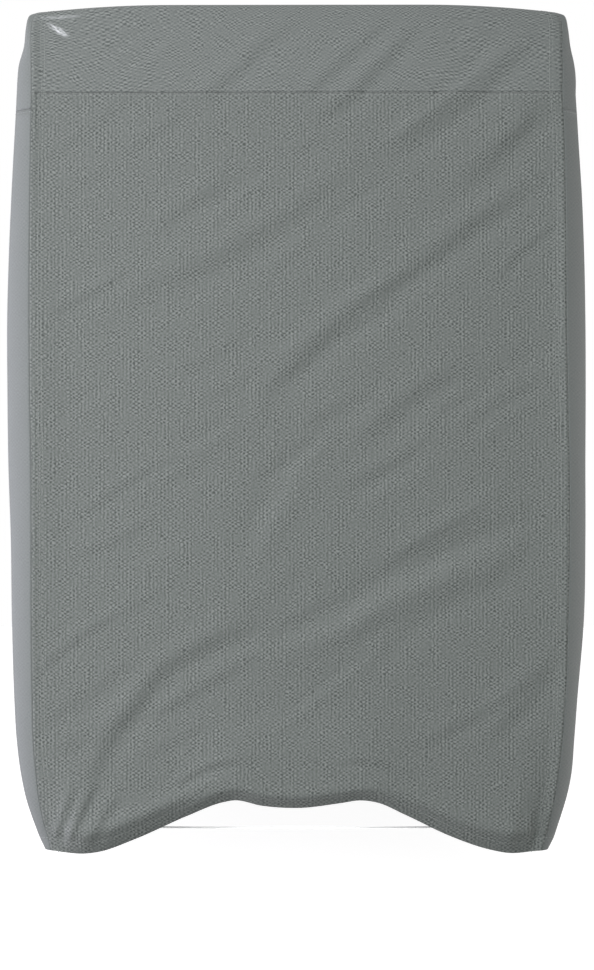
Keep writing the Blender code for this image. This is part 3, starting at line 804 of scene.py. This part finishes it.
def level_row(grid, away):
    """One row at a distance from the first row of a piece, and clear of its ends."""
    return beside_edge(grid.transpose(1, 0, 2), away)[1:-1]


TURNED = len(TURN["back"])
threads = [
    stitch_rows("front_stitches", corner_rows(front_grid[:-TURNED])
                + [level_row(front_grid, BESIDE_SEAM[0]), level_row(front_grid[:-TURNED][::-1], ABOVE_HEM)]),
    stitch_rows("rear_stitches", corner_rows(rear_grid[:-TURNED])
                + [level_row(rear_grid, BESIDE_SEAM[0]), level_row(rear_grid[:-TURNED][::-1], ABOVE_HEM)]),
    stitch_rows("roof_stitches", corner_rows(roof_grid)
                + [level_row(roof_grid, BESIDE_SEAM[0]), level_row(roof_grid[::-1], BESIDE_SEAM[0])]),
]
for side, grid in side_grids.items():
    rows = [level_row(grid, BESIDE_SEAM[0]), level_row(grid[:-TURNED][::-1], ABOVE_HEM)]
    threads.append(stitch_rows(side + "_side_stitches", rows))

# %% [markdown]
# ## Finishes
# Colours are given as they look on a screen and turned into the linear ones that a shader wants.

# %% Colour helper
def linear(colour):
    """An sRGB hex colour as linear red, green, blue and alpha."""
    parts = [int(colour[k:k + 2], 16) / 255 for k in (1, 3, 5)]
    return [c / 12.92 if c <= 0.04045 else ((c + 0.055) / 1.055) ** 2.4 for c in parts] + [1.0]


# %% [markdown]
# ### Embossed non-woven polypropylene
# Fine plastic fibres are laid down at random and then pressed between hot rollers, which leaves
# a lattice of small bright dots with darker, pressed gaps. The real lattice is about 2 mm. It is
# drawn ten times as coarse here, because that is how it shows at this distance.

# %% Cloth finish
DOT_ACROSS = 0.0199
DOT_DOWN = 0.0141
RIB_ACROSS = DOT_ACROSS * 2 / 3
SMALL_SWAY = (60.0, 0.010)         # how fine the wandering is, and how far it reaches
WIDE_SWAY = (4.0, 0.07)
PATCH_SCALE = 24.0
RIB_PATCHES = (30.0, 9.0, 1.0)     # patches of ribs are upright
SPECK_SCALE = 150.0
SPECKS = 0.20


def cloth_finish(name, dark, pale, dots, ribs, sways, painted_highlights=()):
    """Non-woven cloth with its lattice of dots, and upright ribs where ribs is more than 0."""
    material = bpy.data.materials.new(name)
    material.use_nodes = True
    tree = material.node_tree
    shader = tree.nodes["Principled BSDF"]

    def maths(operation, *values):
        return add(tree, "ShaderNodeMath", dict(enumerate(values)), operation=operation).outputs[0]

    def wave(socket, period):
        return maths("COSINE", maths("MULTIPLY", socket, 2 * math.pi / period))

    def patches(place, scale, low, high, detail=2.0):
        """Chance patches that run between a low and a high value."""
        noise = add(tree, "ShaderNodeTexNoise", {"Vector": place, "Scale": scale, "Detail": detail})
        ranged = {"Value": noise.outputs["Fac"], "From Min": 0.35, "From Max": 0.65,
                  "To Min": low, "To Max": high}
        return add(tree, "ShaderNodeMapRange", ranged).outputs[0]

    # The rollers never press quite evenly: the lattice wanders a little, and fades in and out
    measure = add(tree, "ShaderNodeUVMap", uv_map="cloth").outputs["UV"]
    lattice_place = add(tree, "ShaderNodeUVMap", uv_map="lattice").outputs["UV"]
    for scale, amount in sways:
        sway = add(tree, "ShaderNodeTexNoise", {"Vector": measure, "Scale": scale, "Detail": 0.0})
        lattice_place = add(tree, "ShaderNodeVectorMath",
                            {0: sway.outputs["Color"], 1: [amount] * 3, 2: lattice_place},
                            operation="MULTIPLY_ADD").outputs[0]
    flat = add(tree, "ShaderNodeSeparateXYZ", {0: lattice_place})
    lattice = maths("MULTIPLY", wave(flat.outputs["X"], DOT_ACROSS), wave(flat.outputs["Y"], DOT_DOWN))
    dot_part = maths("MULTIPLY", lattice, patches(measure, PATCH_SCALE, 0.25, 1.5))
    upright = add(tree, "ShaderNodeMapping", {"Vector": measure, "Scale": RIB_PATCHES}).outputs[0]
    rib_part = maths("MULTIPLY", wave(flat.outputs["X"], RIB_ACROSS), patches(upright, 1.0, -0.3, 1.6))
    speck = patches(measure, SPECK_SCALE, -0.5, 0.5)
    total = maths("MULTIPLY_ADD", dot_part, dots, 0.5)
    total = maths("MULTIPLY_ADD", rib_part, ribs, total)
    total = maths("MULTIPLY_ADD", speck, SPECKS, total)
    colour = add(tree, "ShaderNodeMix", {"Factor": total, 6: linear(dark), 7: linear(pale)},
                 data_type="RGBA").outputs[2]
    # Each mark mixes a pale painted highlight into the colour
    for place, turn, size, amount in painted_highlights:
        shape = {"Vector": measure, "Location": (*place, 0.0), "Rotation": (0.0, 0.0, turn),
                 "Scale": (*size, 1.0)}
        spot = add(tree, "ShaderNodeMapping", shape, vector_type="TEXTURE").outputs[0]
        from_middle = add(tree, "ShaderNodeVectorMath", {0: spot}, operation="LENGTH").outputs["Value"]
        fade = {"Value": from_middle, "From Min": 1.0, "From Max": 0.2, "To Min": 0.0, "To Max": amount}
        inside = add(tree, "ShaderNodeMapRange", fade).outputs[0]
        share = maths("MULTIPLY", inside, patches(spot, 2.5, 0.0, 1.0, detail=3.0))
        colour = add(tree, "ShaderNodeMix", {"Factor": share, 6: colour, 7: linear("#dfe2e6")},
                     data_type="RGBA").outputs[2]
    tree.links.new(colour, shader.inputs["Base Color"])
    relief = add(tree, "ShaderNodeBump", {"Height": total, "Strength": 0.35, "Distance": 0.002})
    tree.links.new(relief.outputs["Normal"], shader.inputs["Normal"])
    shader.inputs["Roughness"].default_value = 0.86
    shader.inputs["Specular IOR Level"].default_value = 0.25
    shader.inputs["Sheen Weight"].default_value = 0.15
    return material


# Over the upper left corner a pale painted highlight lies on the cloth: one slanting crease and
# one streak under the roof's edge. Each mark is a place, a turn, a size and a strength.
CORNER_PAINTED_HIGHLIGHTS = [
    ((-0.845, 0.245), -0.62, (0.056, 0.017), 0.85),
    ((-0.845, 0.300), 0.06, (0.098, 0.013), 0.32),
]
panel_finish = cloth_finish("embossed_nonwoven_polypropylene", "#494e4c", "#818684", 0.42, 0.17,
                            [SMALL_SWAY])
band_finish = cloth_finish("stretched_nonwoven_polypropylene_painted_highlight", "#4c5150", "#828785", 0.44, 0.0,
                           [SMALL_SWAY, WIDE_SWAY], CORNER_PAINTED_HIGHLIGHTS)
side_finish = cloth_finish("slanted_nonwoven_polypropylene", "#5f6463", "#757a79", 0.16, 0.0,
                           [SMALL_SWAY])
for piece in (front_cloth, rear_cloth):
    piece.data.materials.append(panel_finish)
roof_cloth.data.materials.append(band_finish)
for piece in (*side_cloths.values(), *band_cloths.values()):
    piece.data.materials.append(side_finish)

# %% Thread finish
thread_finish = bpy.data.materials.new("polyester_thread")
thread_finish.use_nodes = True
shader = thread_finish.node_tree.nodes["Principled BSDF"]
shader.inputs["Base Color"].default_value = linear("#858a88")
shader.inputs["Roughness"].default_value = 0.6
for row in threads:
    row.data.materials.append(thread_finish)

# %% Webbing finish
webbing_finish = bpy.data.materials.new("woven_polypropylene_webbing")
webbing_finish.use_nodes = True
webbing_finish.node_tree.nodes["Principled BSDF"].inputs["Base Color"].default_value = linear("#f0f1f1")
webbing_finish.node_tree.nodes["Principled BSDF"].inputs["Roughness"].default_value = 0.8
strap.data.materials.append(webbing_finish)

# %% [markdown]
# ## Riding and replacing
# Nothing moves on a cover, so every piece rides on the one body.

# %% Every piece rides on the one body, and its plain sheet is hidden
PIECES = [
    (front_cloth, "front_panel", "cloth", (1.90, 2.72)),
    (rear_cloth, "rear_panel", "cloth", (1.90, 2.70)),
    (roof_cloth, "roof_panel", "cloth", (1.90, 6.10)),
    (side_cloths["left"], "left_side_panel", "cloth", (5.70, 2.62)),
    (side_cloths["right"], "right_side_panel", "cloth", (5.70, 2.62)),
    (band_cloths["left"], "left_top_band", "cloth", (5.60, 0.42)),
    (band_cloths["right"], "right_top_band", "cloth", (5.60, 0.42)),
    (strap, "belly_strap", "webbing", (STRAP_WIDTH, 1.80)),
]
for piece, node, slot, flat in PIECES:
    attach(piece, "root")
    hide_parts(node)
for row in threads:
    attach(row, "root")

# %% [markdown]
# ## Floor and light
# The floor looks white to the camera only. If it glowed for the cloth too, the hem would be lit
# from below, and it is dark there.

# %% Floor
FLOOR_DROP = 3.26
FLOOR_REACH = 12.0
FLOOR_GLOW = 0.92
WORLD_LIGHT = 0.45

corners = [(x, y, -FLOOR_DROP) for x, y in ((-1, -1), (1, -1), (1, 1), (-1, 1))]
corners = [(x * FLOOR_REACH, y * FLOOR_REACH, z) for x, y, z in corners]
floor_mesh = bpy.data.meshes.new("floor")
floor_mesh.from_pydata(corners, [], [(0, 1, 2, 3)])
floor = bpy.data.objects.new("floor", floor_mesh)
bpy.context.scene.collection.objects.link(floor)
floor_finish = bpy.data.materials.new("pale_floor")
floor_finish.use_nodes = True
shader = floor_finish.node_tree.nodes["Principled BSDF"]
shader.inputs["Base Color"].default_value = (0.3, 0.3, 0.3, 1)
shader.inputs["Emission Color"].default_value = (1, 1, 1, 1)
seen = add(floor_finish.node_tree, "ShaderNodeLightPath").outputs["Is Camera Ray"]
glow = add(floor_finish.node_tree, "ShaderNodeMath", {0: seen, 1: FLOOR_GLOW}, operation="MULTIPLY")
floor_finish.node_tree.links.new(glow.outputs[0], shader.inputs["Emission Strength"])
floor_mesh.materials.append(floor_finish)

# %% [markdown]
# The picture is lit as in a studio: a high soft key from the left, weaker lights at mid height
# and low in front that keep the lower half as bright, and one low light on each side for the
# narrow strips of the sides. A small lamp behind the front hem lights the strap.

# %% Lights
world = bpy.data.worlds.new("studio")
world.use_nodes = True
bpy.context.scene.world = world
tree = world.node_tree
seen = add(tree, "ShaderNodeLightPath").outputs["Is Camera Ray"]
background = tree.nodes["Background"]
glow = add(tree, "ShaderNodeMix", {"Factor": seen, 2: WORLD_LIGHT, 3: 1.0}, data_type="FLOAT")
tree.links.new(glow.outputs[0], background.inputs["Strength"])
background.inputs["Color"].default_value = (1, 1, 1, 1)

# Each light has a name, a place, what it points at, a size in metres, a power in watts and a colour
LIGHTS = [
    ("key", (-3.0, FRONT_Y - 4.0, 4.5), (0.0, FRONT_Y, -1.6), 1.6, 287, (1.0, 0.975, 1.0)),
    ("level", (-5.0, FRONT_Y - 3.2, -1.7), (0.0, FRONT_Y, -1.7), 1.6, 191, (0.995, 0.95, 1.0)),
    ("low", (0.0, FRONT_Y - 6.0, -2.6), (0.0, FRONT_Y, -1.6), 3.0, 178, (0.95, 1.0, 0.95)),
    ("left", (-6.0, FRONT_Y + 1.2, -3.0), (-1.0, FRONT_Y, -1.6), 3.0, 436, (0.915, 0.85, 1.0)),
    ("right", (6.0, FRONT_Y + 1.2, -3.0), (1.0, FRONT_Y, -1.6), 3.0, 358, (1.0, 0.925, 0.93)),
    ("strap", (0.0, FRONT_Y + 0.20, -2.72), (0.0, FRONT_Y + 0.48, -3.0), 0.25, 4, (1.0, 1.0, 1.0)),
]


def area_light(name, place, aim, size, power, colour):
    light = bpy.data.lights.new(name, "AREA")
    light.size = size
    light.energy = power
    light.color = colour
    lamp = bpy.data.objects.new(name, light)
    lamp.location = place
    lamp.rotation_euler = (Vector(aim) - Vector(place)).to_track_quat("-Z", "Y").to_euler()
    bpy.context.scene.collection.objects.link(lamp)


for row in LIGHTS:
    area_light(*row)
bpy.context.scene.view_settings.view_transform = "Standard"
